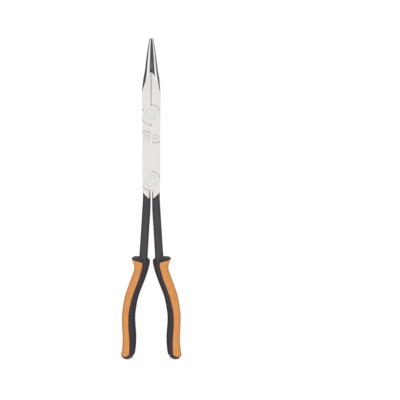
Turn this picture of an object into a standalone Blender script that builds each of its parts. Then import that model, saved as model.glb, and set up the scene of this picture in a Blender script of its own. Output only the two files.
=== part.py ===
"""Double-jointed long-reach pliers with a straight long nose, closed and lying flat.

Two crossed jaw levers turn on the front rivet and two crossed handle levers turn on the
rear rivet. On each side a small link rivet joins a jaw lever to a handle lever. Each lever
is halved where it crosses its neighbour: it is the front layer there, and its twin, the
same forging turned over about the long axis, is the back layer.

Metres. +Y runs from the grips to the nose, +X to the right, +Z up from the surface that
the pliers lie on. Meshes are modelled about the mid-plane of the tool, at z = 0, and the
pivot empties lift them to MID_Z.
"""

import math

import bmesh
import bpy
from mathutils import Matrix, Vector

# ---- driving dimensions --------------------------------------------------------------
GAP = 0.0003  # clearance between touching pieces
TIP_Y = 0.170  # nose tip
END_Y = -0.170  # lowest point of the grips
HEAD_HALF_DEPTH = 0.0055  # half thickness of the ground steel head
SHANK_HALF_DEPTH = 0.00425  # half thickness of the black shanks
GRIP_HALF_DEPTH = 0.008  # half thickness of the grips
MID_Z = GRIP_HALF_DEPTH  # the grips' flat backs lie on z = 0

FRONT_PIVOT = Vector((0.0, 0.0882, 0.0))
REAR_PIVOT = Vector((0.0, 0.0185, 0.0))
LINK_PIVOT = Vector((0.00475, 0.0646, 0.0))  # right-hand link; the left-hand one mirrors it

DISC_RADIUS = 0.010  # round shoulder about each central pivot
LINK_RADIUS = 0.0058  # rounded lever end about each link pivot
FRONT_HALF_WIDTH = 0.0093  # lever edge at the front pivot and along the arms
REAR_HALF_WIDTH = 0.0091  # lever edge at the rear pivot
HALF_SPLIT = GAP / 2  # each side of a parting line stands back by this

# ---- edges, each as (y, distance from the centre line), from the nose downwards --------
NOSE_SIDE = [(0.125, 0.0086), (0.1208, 0.0090), (0.1144, 0.00955), (0.108, 0.0097), (0.0985, 0.0097)]
NOSE_CONE = [
    (0.1703, 0.0014),
    (0.1695, 0.0021),
    (0.1589, 0.0039),
    (0.1462, 0.0057),
    (0.1356, 0.00695),
    (0.1314, 0.0077),
    (0.1120, 0.0121),
    (0.1080, 0.0160),
    (0.1060, 0.0300),
    (0.0400, 0.0300),
]
CONE_FLATTENING = HEAD_HALF_DEPTH / 0.0074  # the nose is an upright oval in section
SHANK_OUTER = [(0.0065, 0.0090), (0.0002, 0.00885), (-0.0125, 0.0096), (-0.0337, 0.0109), (-0.0620, 0.0127)]
SHANK_INNER = [(0.0065, 0.0006), (0.0002, 0.0009), (-0.0125, 0.0011), (-0.0337, 0.00244), (-0.0620, 0.0040)]
GRIP_OUTER = [
    (-0.0660, 0.0198),
    (-0.0720, 0.0181),
    (-0.0780, 0.0193),
    (-0.0866, 0.0225),
    (-0.1035, 0.02815),
    (-0.1205, 0.0309),
    (-0.1290, 0.0312),
    (-0.1460, 0.03045),
    (-0.1543, 0.03055),
    (-0.1649, 0.0319),
]
GRIP_INNER = [
    (-0.0660, 0.0019),
    (-0.0780, 0.0043),
    (-0.0866, 0.0072),
    (-0.1035, 0.0136),
    (-0.1205, 0.0168),
    (-0.1290, 0.0170),
    (-0.1460, 0.01595),
    (-0.1585, 0.0166),
]
PANEL_EDGE = [  # where the panel's front and back faces end, towards the inner side
    (-0.0664, 0.0148),
    (-0.0676, 0.0107),
    (-0.0697, 0.0090),
    (-0.0781, 0.0109),
    (-0.0866, 0.0135),
    (-0.1035, 0.0197),
    (-0.1205, 0.0234),
    (-0.1290, 0.0238),
    (-0.1458, 0.0229),
    (-0.1543, 0.0226),
    (-0.1628, 0.0233),
    (-0.1665, 0.0262),
]

# ---- grip end, moulded parts and hidden tang -------------------------------------------
END_CENTRE_X = 0.0255  # the rounded end's lowest point
END_OUTER = (0.0064, 0.0051)  # half width and height of the end's outer quarter oval
END_INNER = (0.0089, 0.0115)
END_ROUNDING, END_THINNING = 0.0060, 0.0042  # length over which the end thins, and by how much
CORNER = 0.0042  # roundness of the grip's section
PANEL_TOP_Y, PANEL_END_Y = -0.0664, -0.1665
PANEL_DEPTH = 0.0022  # thickness of the soft panel
TANG_INSET = 0.0030  # steel tang's distance from the grip's inner side
TANG_WIDTH, TANG_HALF_DEPTH, TANG_END_Y = 0.0060, 0.0032, -0.150
SHANK_CHAMFER, TANG_CHAMFER = 0.0017, 0.0010

# ---- rivets: outline of one half, as (radius, height) from the flush face inwards ------
LARGE_RIVET = [(0.0060, HEAD_HALF_DEPTH), (0.0060, 0.0046), (0.0042, 0.0030)]
SMALL_RIVET = [(0.0031, HEAD_HALF_DEPTH), (0.0031, 0.0046), (0.0022, 0.0036)]

STEEL = ("bright_steel", (0.78, 0.78, 0.76), 0.28, 1.0)
BLACK = ("black_grip", (0.055, 0.053, 0.056), 0.55, 0.0)
ORANGE = ("orange_grip", (0.72, 0.29, 0.09), 0.50, 0.0)


def clear_scene():
    for obj in list(bpy.data.objects):
        bpy.data.objects.remove(obj, do_unlink=True)


def material(name, colour, roughness, metallic):
    made = bpy.data.materials.new(name)
    made.use_nodes = True
    shader = made.node_tree.nodes["Principled BSDF"]
    shader.inputs["Base Color"].default_value = (*colour, 1.0)
    shader.inputs["Roughness"].default_value = roughness
    shader.inputs["Metallic"].default_value = metallic
    return made


def edge_at(edge, y):
    """Distance from the centre line at height y, on a smooth curve through the edge's points."""
    if y >= edge[0][0]:
        return edge[0][1]
    if y <= edge[-1][0]:
        return edge[-1][1]
    slopes = []
    for i in range(len(edge)):
        low, high = edge[max(i - 1, 0)], edge[min(i + 1, len(edge) - 1)]
        slopes.append((high[1] - low[1]) / (high[0] - low[0]))
    i = max(n for n in range(len(edge) - 1) if edge[n][0] >= y)
    (y0, x0), (y1, x1) = edge[i], edge[i + 1]
    step = y1 - y0
    t = (y - y0) / step
    h0, h1 = 2 * t**3 - 3 * t**2 + 1, 3 * t**2 - 2 * t**3
    return h0 * x0 + h1 * x1 + step * ((t**3 - 2 * t**2 + t) * slopes[i] + (t**3 - t**2) * slopes[i + 1])


def arc(centre, radius, start, end, step=10):
    """Points on a circle from angle start to angle end, in radians, at most step degrees apart."""
    count = max(1, math.ceil(abs(math.degrees(end - start)) / step))
    angles = [start + (end - start) * i / count for i in range(count + 1)]
    return [(centre.x + radius * math.cos(a), centre.y + radius * math.sin(a)) for a in angles]


def angle_at(x, radius):
    """Upper angle at which a circle of that radius is x away from its centre's vertical."""
    return math.acos(x / radius)


def object_from(name, bm):
    """Closes up a bmesh with its faces pointing out and links it as an object."""
    bmesh.ops.recalc_face_normals(bm, faces=bm.faces)
    mesh = bpy.data.meshes.new(name)
    bm.to_mesh(mesh)
    bm.free()
    obj = bpy.data.objects.new(name, mesh)
    bpy.context.scene.collection.objects.link(obj)
    return obj


def prism(name, outline, half_depth):
    """A flat plate with that outline, as thick as twice half_depth."""
    bm = bmesh.new()
    base = bm.faces.new([bm.verts.new((x, y, -half_depth)) for x, y in outline])
    made = bmesh.ops.extrude_face_region(bm, geom=[base])
    raised = [v for v in made["geom"] if isinstance(v, bmesh.types.BMVert)]
    bmesh.ops.translate(bm, verts=raised, vec=(0, 0, 2 * half_depth))
    return object_from(name, bm)


def loft(name, rings):
    """A closed solid through rings of points, with flat ends."""
    bm = bmesh.new()
    rows = [[bm.verts.new(p) for p in ring] for ring in rings]
    for upper, lower in zip(rows, rows[1:]):
        for i in range(len(upper)):
            j = (i + 1) % len(upper)
            bm.faces.new((upper[i], upper[j], lower[j], lower[i]))
    bm.faces.new(rows[0])
    bm.faces.new(rows[-1][::-1])
    return object_from(name, bm)


def turned(name, half_profile, centre, grow=0.0, steps=24):
    """A round piece about +Z from one half of its outline; grow makes the hole it needs."""
    past = 0.001 if grow else 0.0  # a hole's cutter runs past both faces
    (head, top), *rest = half_profile
    upper = [(head + grow, top + past)] + [(r + grow, z - grow / 3) for r, z in rest]
    profile = [(0.0, top + past), *upper]
    profile += [(r, -z) for r, z in profile[::-1]]
    bm = bmesh.new()
    line = [bm.verts.new((centre.x + r, centre.y, z)) for r, z in profile]
    edges = [bm.edges.new(pair) for pair in zip(line, line[1:])]
    turn = {"cent": centre, "axis": (0, 0, 1), "angle": 2 * math.pi, "steps": steps}
    bmesh.ops.spin(bm, geom=line + edges, use_merge=True, **turn)
    bmesh.ops.remove_doubles(bm, verts=bm.verts, dist=1e-7)
    return object_from(name, bm)


def carve(obj, *tools, operation="DIFFERENCE"):
    """Applies a Boolean with each tool in turn, then removes the tools."""
    for tool in tools:
        modifier = obj.modifiers.new(tool.name, "BOOLEAN")
        modifier.object = tool
        modifier.operation = operation
        modifier.solver = "EXACT"
    bpy.context.view_layer.update()
    shaped = obj.evaluated_get(bpy.context.evaluated_depsgraph_get())
    obj.data = bpy.data.meshes.new_from_object(shaped)
    obj.modifiers.clear()
    for tool in tools:
        bpy.data.objects.remove(tool, do_unlink=True)
    return obj


def layer_cutter(name, centre, radius):
    """A disc-shaped cutter that takes the back layer away, so that the lever is halved there."""
    circle = arc(centre, radius + GAP, 0, 2 * math.pi)[:-1]
    cutter = prism(name, circle, HEAD_HALF_DEPTH)
    cutter.location.z = HALF_SPLIT - HEAD_HALF_DEPTH
    return cutter


def nose_envelope():
    """The oval cone that rounds the nose, wide enough lower down to leave the lever alone."""
    rings = []
    for y, radius in NOSE_CONE:
        points = [2 * math.pi * i / 32 for i in range(32)]
        rings.append([(radius * math.cos(a), y, radius * CONE_FLATTENING * math.sin(a)) for a in points])
    return loft("nose_envelope", rings)


def jaw_lever(name):
    """The left-hand jaw: nose half on the left, front disc, tang down to the right-hand link."""
    shoulder = angle_at(FRONT_HALF_WIDTH, DISC_RADIUS)
    past_split = angle_at(-HALF_SPLIT, DISC_RADIUS)
    link_outer = angle_at(FRONT_HALF_WIDTH - LINK_PIVOT.x, LINK_RADIUS)
    link_inner = angle_at(HALF_SPLIT - LINK_PIVOT.x, LINK_RADIUS)
    outline = arc(FRONT_PIVOT, DISC_RADIUS, past_split, shoulder)
    outline += arc(LINK_PIVOT, LINK_RADIUS, -link_outer, -link_inner)
    outline += arc(FRONT_PIVOT, DISC_RADIUS, past_split - math.pi, shoulder - math.pi)
    outline += [(-x, y) for y, x in NOSE_SIDE[::-1]]
    outline += [(-0.0082, 0.1312), (-0.0085, TIP_Y), (-HALF_SPLIT, TIP_Y)]
    lever = prism(name, outline, HEAD_HALF_DEPTH)
    carve(lever, nose_envelope(), operation="INTERSECT")
    return carve(
        lever,
        layer_cutter("front_layer", FRONT_PIVOT, DISC_RADIUS),
        layer_cutter("link_layer", LINK_PIVOT, LINK_RADIUS),
        turned("front_hole", LARGE_RIVET, FRONT_PIVOT, grow=GAP),
        turned("link_hole", SMALL_RIVET, LINK_PIVOT, grow=GAP),
    )


def shank_ring(y, inner, outer, half_depth, chamfer):
    """An eight-sided section of the shank or tang at height y."""
    x0, x1, c, d = inner, outer, chamfer, half_depth
    section = [(x0 + c, d), (x1 - c, d), (x1, d - c), (x1, c - d)]
    section += [(x1 - c, -d), (x0 + c, -d), (x0, c - d), (x0, d - c)]
    return [(x, y, z) for x, z in section]


def shank_rings(grow=0.0):
    """Sections from inside the head down to the end of the hidden tang."""
    top_y = 0.0065 if grow == 0.0 else -0.0560
    shank_heights = (0.0065, 0.0002, -0.0125, -0.0231, -0.0337, -0.0443, -0.0560, -0.0640)
    rings = []
    for y in [y for y in shank_heights if y <= top_y]:
        inner, outer = edge_at(SHANK_INNER, y), edge_at(SHANK_OUTER, y)
        rings.append((y, inner, outer, SHANK_HALF_DEPTH, SHANK_CHAMFER))
    for i in range(9):
        y = -0.0720 + (TANG_END_Y + 0.0720) * i / 8
        inner = edge_at(GRIP_INNER, y) + TANG_INSET
        rings.append((y, inner, inner + TANG_WIDTH, TANG_HALF_DEPTH, TANG_CHAMFER))
    if grow:
        last = rings[-1]
        rings[-1] = (last[0] - grow, *last[1:])
    return [shank_ring(y, x0 - grow, x1 + grow, d + grow, c) for y, x0, x1, d, c in rings]


def handle_lever(name):
    """The right-hand handle: left-hand link end, arm, front disc, then shank and hidden tang."""
    left_link = Vector((-LINK_PIVOT.x, LINK_PIVOT.y, 0.0))
    shoulder = angle_at(REAR_HALF_WIDTH, DISC_RADIUS)
    past_split = angle_at(-HALF_SPLIT, DISC_RADIUS)
    link_outer = angle_at(left_link.x + FRONT_HALF_WIDTH, LINK_RADIUS)
    link_inner = angle_at(-HALF_SPLIT - left_link.x, LINK_RADIUS)
    outline = arc(left_link, LINK_RADIUS, link_inner, math.pi - link_outer)
    outline += [(-FRONT_HALF_WIDTH, 0.0305)]
    outline += arc(REAR_PIVOT, DISC_RADIUS, shoulder - math.pi, past_split - math.pi)
    outline += [(0.0005, 0.0065), (0.0013, 0.0025), (0.0023, 0.0006)]  # inner side of the ground V
    outline += [(0.0031, 0.0003), (0.0040, 0.0009), (REAR_HALF_WIDTH, 0.0056)]
    outline += arc(REAR_PIVOT, DISC_RADIUS, shoulder, past_split)
    lever = prism(name, outline, HEAD_HALF_DEPTH)
    carve(lever, loft("shank", shank_rings()), operation="UNION")
    return carve(
        lever,
        layer_cutter("rear_layer", REAR_PIVOT, DISC_RADIUS),
        layer_cutter("link_layer", left_link, LINK_RADIUS),
        turned("rear_hole", LARGE_RIVET, REAR_PIVOT, grow=GAP),
        turned("link_hole", SMALL_RIVET, left_link, grow=GAP),
    )


def quarter_oval(drop):
    """Height of a quarter circle of radius 1 at a distance drop along its base."""
    return math.sqrt(max(0.0, 1 - drop * drop))


def grip_edges(y):
    """(inner, outer) sides of the grip at height y, its rounded end included."""
    (out_a, out_b), (in_a, in_b) = END_OUTER, END_INNER
    inner, outer = edge_at(GRIP_INNER, y), edge_at(GRIP_OUTER, y)
    if y < END_Y + out_b:
        outer = END_CENTRE_X + out_a * quarter_oval((END_Y + out_b - y) / out_b)
    if y < END_Y + in_b:
        inner = END_CENTRE_X - in_a * quarter_oval((END_Y + in_b - y) / in_b)
    return inner, outer


def grip_half_depth(y):
    """Half thickness of the grip, which thins towards its rounded end."""
    drop = max(0.0, (END_Y + END_ROUNDING - y) / END_ROUNDING)
    return GRIP_HALF_DEPTH - END_THINNING * (1 - quarter_oval(drop))


def grip_ring(inner, outer, half_depth, height):
    """A rounded section. height gives y for a fraction across, 0 at the inner side."""
    corner = min(CORNER, 0.45 * (outer - inner))
    ring = []
    for sign_x, sign_z, start in ((1, 1, 90), (1, -1, 0), (-1, -1, -90), (-1, 1, 180)):
        middle_x = (outer - corner) if sign_x > 0 else (inner + corner)
        middle_z = sign_z * (half_depth - corner)
        for i in range(4):
            a = math.radians(start - 30 * i)
            x = middle_x + corner * math.cos(a)
            ring.append((x, height((x - inner) / (outer - inner)), middle_z + corner * math.sin(a)))
    return ring


def grip_body(name):
    """The whole outer shape of a grip: sloping finger stop, waisted body, rounded end."""
    rings = [
        grip_ring(0.0023, 0.0188, 0.0056, lambda f: -0.0642 + 0.0033 * min(1.0, 2 * f)),
        grip_ring(0.0017, 0.0205, 0.0074, lambda f: -0.0650 + 0.0020 * f - 0.0016 * math.sin(math.pi * f)),
        grip_ring(0.0017, 0.0203, 0.0080, lambda f: -0.0656 + 0.0010 * f - 0.0028 * math.sin(math.pi * f)),
    ]
    heights = [-0.0697, -0.0720, -0.0780, -0.0866, -0.0950, -0.1035, -0.1120, -0.1205, -0.1290]
    heights += [-0.1374, -0.1460, -0.1543, -0.1600, -0.1649, -0.1670, -0.1685, -0.1695, END_Y]
    for y in heights:
        inner, outer = grip_edges(y)
        if y == END_Y:
            inner, outer = END_CENTRE_X - 0.0012, END_CENTRE_X + 0.0012
        rings.append(grip_ring(inner, outer, grip_half_depth(y), lambda f, y=y: y))
    return loft(name, rings)


def panel_rings(grow=0.0):
    """C-shaped sections that wrap the grip's outer side, front and back."""
    past = 0.0010 if grow else 0.0  # the recess's cutter stands out of the surface
    top, end = PANEL_TOP_Y + grow, PANEL_END_Y - grow
    heights = [top, -0.0676, -0.0697, -0.0740, -0.0781, -0.0866, -0.0950, -0.1035, -0.1120, -0.1205]
    heights += [-0.1290, -0.1374, -0.1458, -0.1543, -0.1590, -0.1628, -0.1649, end]
    rings = []
    for y in heights:
        outer = grip_edges(y)[1]
        d = grip_half_depth(y)
        flange = edge_at(PANEL_EDGE, y) - grow
        section = [(flange, d + past)]
        corners = [(outer - CORNER, d - CORNER, 90), (outer - CORNER, CORNER - d, 0)]
        for x, z, start in corners:
            for i in range(4):
                a = math.radians(start - 30 * i)
                r = CORNER + past
                section.append((x + r * math.cos(a), z + r * math.sin(a)))
        section.append((flange, -d - past))
        depth = PANEL_DEPTH + grow
        section.append((flange, depth - d))
        core = CORNER - depth
        for x, z, start in corners[::-1]:
            for i in range(3):
                a = math.radians(start - 90 + 45 * i)
                section.append((max(flange, x + core * math.cos(a)), z + core * math.sin(a)))
        section.append((flange, d - depth))
        rings.append([(x, y, z) for x, z in section])
    return rings


def grip_sleeve(name):
    pocket = loft("tang_pocket", shank_rings(grow=GAP))
    recess = loft("panel_recess", panel_rings(grow=GAP))
    return carve(grip_body(name), pocket, recess)


def pivot_empty(name, pivot):
    empty = bpy.data.objects.new(name, None)
    empty.location = (pivot.x, pivot.y, MID_Z)
    bpy.context.scene.collection.objects.link(empty)
    return empty


def hang_on(obj, empty, pivot, finish):
    """Moves a piece's origin to its pivot, parents it to that pivot's empty and colours it."""
    obj.data.transform(Matrix.Translation(-pivot))
    obj.parent = empty
    obj.data.materials.clear()
    obj.data.materials.append(finish)
    obj.data.shade_smooth()
    obj.data.set_sharp_from_angle(angle=math.radians(35))
    return obj


def turned_over(obj, name, empty):
    """The twin piece: the same mesh, turned half a turn about the long axis."""
    twin = bpy.data.objects.new(name, obj.data)
    twin.rotation_euler = (0, math.pi, 0)
    twin.parent = empty
    bpy.context.scene.collection.objects.link(twin)
    return twin


def build():
    clear_scene()
    steel, black, orange = (material(*look) for look in (STEEL, BLACK, ORANGE))
    left_link = Vector((-LINK_PIVOT.x, LINK_PIVOT.y, 0.0))
    right_jaw_axis = pivot_empty("left_link_axis", left_link)
    left_jaw_axis = pivot_empty("right_link_axis", LINK_PIVOT)
    rear_axis = pivot_empty("rear_axis", REAR_PIVOT)

    jaw = hang_on(jaw_lever("jaw_left"), left_jaw_axis, LINK_PIVOT, steel)
    turned_over(jaw, "jaw_right", right_jaw_axis)
    lever = hang_on(handle_lever("handle_lever_right"), rear_axis, REAR_PIVOT, steel)
    turned_over(lever, "handle_lever_left", rear_axis)

    sleeve = hang_on(grip_sleeve("grip_sleeve_right"), rear_axis, REAR_PIVOT, black)
    turned_over(sleeve, "grip_sleeve_left", rear_axis)
    panel = hang_on(loft("grip_panel_right", panel_rings()), rear_axis, REAR_PIVOT, orange)
    turned_over(panel, "grip_panel_left", rear_axis)

    front = turned("front_pivot_rivet", LARGE_RIVET, FRONT_PIVOT)
    hang_on(front, left_jaw_axis, LINK_PIVOT, steel)
    rear = turned("rear_pivot_rivet", LARGE_RIVET, REAR_PIVOT)
    hang_on(rear, rear_axis, REAR_PIVOT, steel)
    link = turned("link_rivet_right", SMALL_RIVET, LINK_PIVOT)
    hang_on(link, left_jaw_axis, LINK_PIVOT, steel)
    turned_over(link, "link_rivet_left", right_jaw_axis)


build()
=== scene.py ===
# %% [markdown]
# # Double-jointed pliers with a long straight nose
# The tool is a small linkage. Two crossed jaws turn on the front rivet, two crossed handles turn on
# the rear rivet, and a little rivet on each side joins a jaw to a handle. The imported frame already
# holds every part at its true place, so this lesson only makes the surfaces that the eye sees.

# %% Load the fixed frame
import math

import bmesh
import bpy
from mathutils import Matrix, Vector


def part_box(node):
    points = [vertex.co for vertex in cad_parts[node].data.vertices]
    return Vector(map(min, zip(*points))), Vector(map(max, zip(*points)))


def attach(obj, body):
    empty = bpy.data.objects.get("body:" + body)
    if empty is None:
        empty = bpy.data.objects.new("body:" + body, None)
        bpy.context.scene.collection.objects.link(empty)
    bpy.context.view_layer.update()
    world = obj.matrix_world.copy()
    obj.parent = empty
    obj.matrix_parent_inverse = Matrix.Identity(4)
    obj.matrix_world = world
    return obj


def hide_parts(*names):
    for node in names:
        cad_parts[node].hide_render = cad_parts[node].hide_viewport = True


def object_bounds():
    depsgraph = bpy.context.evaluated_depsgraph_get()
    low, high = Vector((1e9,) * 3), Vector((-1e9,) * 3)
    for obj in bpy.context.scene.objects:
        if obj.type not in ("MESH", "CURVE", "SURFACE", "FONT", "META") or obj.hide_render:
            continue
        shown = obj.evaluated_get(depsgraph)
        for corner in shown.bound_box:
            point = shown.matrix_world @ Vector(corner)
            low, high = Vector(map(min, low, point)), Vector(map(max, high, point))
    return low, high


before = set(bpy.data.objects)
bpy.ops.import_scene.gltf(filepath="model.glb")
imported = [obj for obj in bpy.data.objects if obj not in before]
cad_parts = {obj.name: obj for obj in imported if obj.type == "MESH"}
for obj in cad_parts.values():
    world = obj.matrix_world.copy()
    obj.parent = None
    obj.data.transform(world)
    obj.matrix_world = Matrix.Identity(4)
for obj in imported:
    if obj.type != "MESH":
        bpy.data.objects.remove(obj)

CAD_LOW, CAD_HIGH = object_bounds()
for leftover in ("Cube", "Light", "Camera"):
    if leftover in bpy.data.objects:
        bpy.data.objects.remove(bpy.data.objects[leftover], do_unlink=True)
print("frame box", CAD_LOW, CAD_HIGH)

# %% [markdown]
# ## Driving dimensions
# The rivets of the frame say where the pivots are and how thick the head is. Measuring them is safer
# than typing the numbers again: if the frame changes, the looks follow it.

# %% Places that come from the frame
MM = 0.001


def middle_of(node):
    low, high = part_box(node)
    return (low + high) / 2


FRONT_PIVOT = middle_of("front_pivot_rivet")
REAR_PIVOT = middle_of("rear_pivot_rivet")
RIGHT_LINK = middle_of("link_rivet_right")
LEFT_LINK = middle_of("link_rivet_left")
MID_Z = FRONT_PIVOT.z  # the tool's mid-plane; everything is modelled about it
TIP_Y, END_Y = CAD_HIGH.y, CAD_LOW.y
GRIP_DEPTH = CAD_HIGH.z - MID_Z  # half thickness of the grips
HEAD_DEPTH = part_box("front_pivot_rivet")[1].z - MID_Z  # half thickness of the steel head
print("pivots", FRONT_PIVOT.y, REAR_PIVOT.y, RIGHT_LINK.x, RIGHT_LINK.y, "head", HEAD_DEPTH)

# %% [markdown]
# ## Camera
# The tool is seen from straight above, from a place well to its right. A long lens keeps the handles
# nearly parallel, and the offset shows a little of the walls that face the camera.

# %% Camera
VIEW_HEIGHT = 1.0
VIEW_WIDTH = 0.4232  # width of the mid-plane that fills the picture
CAMERA_X, CAMERA_Y = 51.45 * MM, -1.4 * MM
SENSOR = 36.0

camera_data = bpy.data.cameras.new("camera")
camera_data.sensor_width = SENSOR
camera_data.lens = SENSOR * VIEW_HEIGHT / VIEW_WIDTH
camera_data.clip_start = 0.05
camera = bpy.data.objects.new("camera", camera_data)
camera.location = (CAMERA_X, CAMERA_Y, MID_Z + VIEW_HEIGHT)
bpy.context.scene.collection.objects.link(camera)
bpy.context.scene.camera = camera
bpy.context.scene.view_settings.view_transform = "Standard"
print("lens", camera_data.lens)

# %% [markdown]
# ## Node helpers
# Materials and the studio are node trees. Two tiny helpers keep them readable: one adds a node and
# fills in its sockets, and one joins an output to an input.


# %% Node helpers
def node(tree, kind, **sockets):
    """A new node; keywords fill sockets by name, with spaces written as underscores."""
    made = tree.nodes.new(kind)
    for name, value in sockets.items():
        made.inputs[name.replace("_", " ")].default_value = value
    return made


def wire(tree, source, output, target, socket):
    """Joins an output of one node to an input of another."""
    tree.links.new(source.outputs[output], target.inputs[socket])


def sums(tree, operation, first, second, clamp=False):
    """A Math node on two values, each a number or a (node, output name) pair."""
    made = tree.nodes.new("ShaderNodeMath")
    made.operation = operation
    made.use_clamp = clamp
    for i, value in enumerate((first, second)):
        if isinstance(value, tuple):
            tree.links.new(value[0].outputs[value[1]], made.inputs[i])
        else:
            made.inputs[i].default_value = value
    return (made, "Value")


def ramp(tree, value, stops):
    """A Color Ramp as a curve: stops are (position, brightness)."""
    made = tree.nodes.new("ShaderNodeValToRGB")
    band = made.color_ramp
    band.elements.remove(band.elements[1])
    band.elements[0].position = stops[0][0]
    for position, _ in stops[1:]:
        band.elements.new(position)
    for element, (_, grey) in zip(band.elements, stops):
        element.color = (grey, grey, grey, 1.0)
    tree.links.new(value[0].outputs[value[1]], made.inputs["Fac"])
    return (made, "Color")


# %% [markdown]
# ## Studio
# Polished steel shows the room, so the room is the most important part of its look. A studio for
# metal has a long soft light on each side and one overhead, with dark gaps between them. Lamps with
# real shapes could do this, but here the world is written as brightness against direction: the angle
# to the side, the angle forwards and the share along the tool. That is easy to tune, has no edges to
# sharpen in the polish, and stays the same wherever the camera goes.

# %% Studio lights
SIDE_LIGHTS = [  # angle from straight up, degrees, right is positive: brightness
    (-180, 0.95),
    (-168, 0.80),
    (-138, 0.12),
    (-84, 0.08),
    (-70, 0.12),
    (-64, 1.22),
    (-29, 1.15),
    (-22, 0.13),
    (43, 0.10),
    (50, 1.25),
    (77, 1.25),
    (86, 0.12),
    (138, 0.12),
    (168, 0.80),
    (180, 0.95),
]
TOP_LIGHT_SIDE = [(-27, 0.0), (-20, 1.0), (22, 1.0), (29, 0.0)]
TOP_LIGHT_FORWARD = [(-84, 0.0), (-76, 0.7), (-40, 0.75), (-4, 0.76), (2, 0.79), (5, 0.86), (8, 0.96)]
TOP_LIGHT_FORWARD += [(13, 1.0), (17, 0.0), (23, 0.02), (34, 0.18)]  # the gap makes the nose's dark band
TOP_LIGHT_FORWARD += [(42, 0.7), (76, 0.7), (84, 0.0)]
TOP_LIGHT = 1.27
END_LIGHT = [(-1.0, 1.5), (-0.80, 1.2), (-0.62, 0.0), (0.74, 0.0)]  # -1 is straight back: brightness
END_LIGHT += [(0.92, 0.25), (0.97, 3.0), (1.0, 5.5)]
BACKDROP = 0.97  # what the camera sees beyond the floor
print("studio lights", max(value for _, value in SIDE_LIGHTS), TOP_LIGHT, END_LIGHT[-1][1])

# %% [markdown]
# The world turns each direction into the three measures, looks each one up in its curve and keeps the
# brightest light. The camera itself sees a plain pale backdrop instead.

# %% World
world = bpy.data.worlds.new("studio")
bpy.context.scene.world = world
world.use_nodes = True
sky = world.node_tree
sky.nodes.clear()
direction = node(sky, "ShaderNodeTexCoord")
parts = node(sky, "ShaderNodeSeparateXYZ")
wire(sky, direction, "Generated", parts, "Vector")


def swing(axis):
    """Angle from straight up towards an axis, as 0 to 1 for -180 to 180 degrees."""
    angle = sums(sky, "ARCTAN2", (parts, axis), (parts, "Z"))
    turns = sums(sky, "DIVIDE", angle, 2 * math.pi)
    return sums(sky, "ADD", turns, 0.5)


def by_angle(stops):
    return [((angle + 180) / 360, value) for angle, value in stops]


sideways, forwards = swing("X"), swing("Y")
side_glow = ramp(sky, sideways, by_angle(SIDE_LIGHTS))
top_mask = sums(
    sky,
    "MULTIPLY",
    ramp(sky, sideways, by_angle(TOP_LIGHT_SIDE)),
    ramp(sky, forwards, by_angle(TOP_LIGHT_FORWARD)),
)
top_glow = sums(sky, "MULTIPLY", top_mask, TOP_LIGHT)
along = sums(sky, "MULTIPLY_ADD", (parts, "Y"), 0.5)
along[0].inputs[2].default_value = 0.5
end_glow = ramp(sky, along, [((y + 1) / 2, value) for y, value in END_LIGHT])
glow = sums(sky, "MAXIMUM", sums(sky, "MAXIMUM", side_glow, top_glow), end_glow)
seen = node(sky, "ShaderNodeLightPath")
plain = node(sky, "ShaderNodeMix")
plain.data_type = "FLOAT"
plain.inputs["B"].default_value = BACKDROP
wire(sky, seen, "Is Camera Ray", plain, "Factor")
wire(sky, *glow, plain, "A")
background = node(sky, "ShaderNodeBackground")
sky_out = node(sky, "ShaderNodeOutputWorld")
wire(sky, plain, "Result", background, "Color")
wire(sky, background, "Background", sky_out, "Surface")
print("world nodes", len(sky.nodes))

# %% [markdown]
# The rubber and the coating are matt, so they need light rather than reflections. Three large soft
# lamps give it. They are hidden from glossy rays, because the steel would show them as stray patches.


# %% Fill lights
def fill_light(name, place, power, size):
    """A soft rectangle that lights the matt surfaces and isn't mirrored by the steel."""
    data = bpy.data.lights.new(name, "AREA")
    data.shape = "RECTANGLE"
    data.size, data.size_y = size
    data.energy = power
    light = bpy.data.objects.new(name, data)
    light.location = place
    light.rotation_euler = (Vector((0, 0, 0)) - Vector(place)).to_track_quat("-Z", "Y").to_euler()
    light.visible_glossy = False
    bpy.context.scene.collection.objects.link(light)
    return light


FILLS = [  # name, place, power in watts, size
    ("fill_left", (-0.75, 0.1, 1.0), 3.2, (0.6, 1.2)),
    ("fill_right", (0.85, 0.0, 1.0), 3.9, (0.6, 1.2)),
    ("fill_top", (0.05, -0.1, 1.3), 4.0, (0.8, 0.8)),
]
for fill in FILLS:
    print("light", fill_light(*fill).name, "watts", fill[2])

# %% [markdown]
# ## Floor
# The tool lies on a light table, which shines by itself, so the contact shadow stays faint. A white
# floor under strong lamps would look alike from above, but would throw dark shadows. The floor is
# hidden from glossy rays: the steel mirrors the studio, not the table's edge.

# %% Floor
FLOOR_SIZE = 6.0
FLOOR_DROP = 0.2 * MM  # room below the grips, so that no two faces lie in one plane
FLOOR_GLOW = 0.93

floor_mesh = bmesh.new()
bmesh.ops.create_grid(floor_mesh, x_segments=8, y_segments=8, size=FLOOR_SIZE / 2)
floor_data = bpy.data.meshes.new("floor")
floor_mesh.to_mesh(floor_data)
floor_mesh.free()
floor = bpy.data.objects.new("floor", floor_data)
floor.location.z = -FLOOR_DROP
floor.visible_glossy = False
bpy.context.scene.collection.objects.link(floor)

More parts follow.
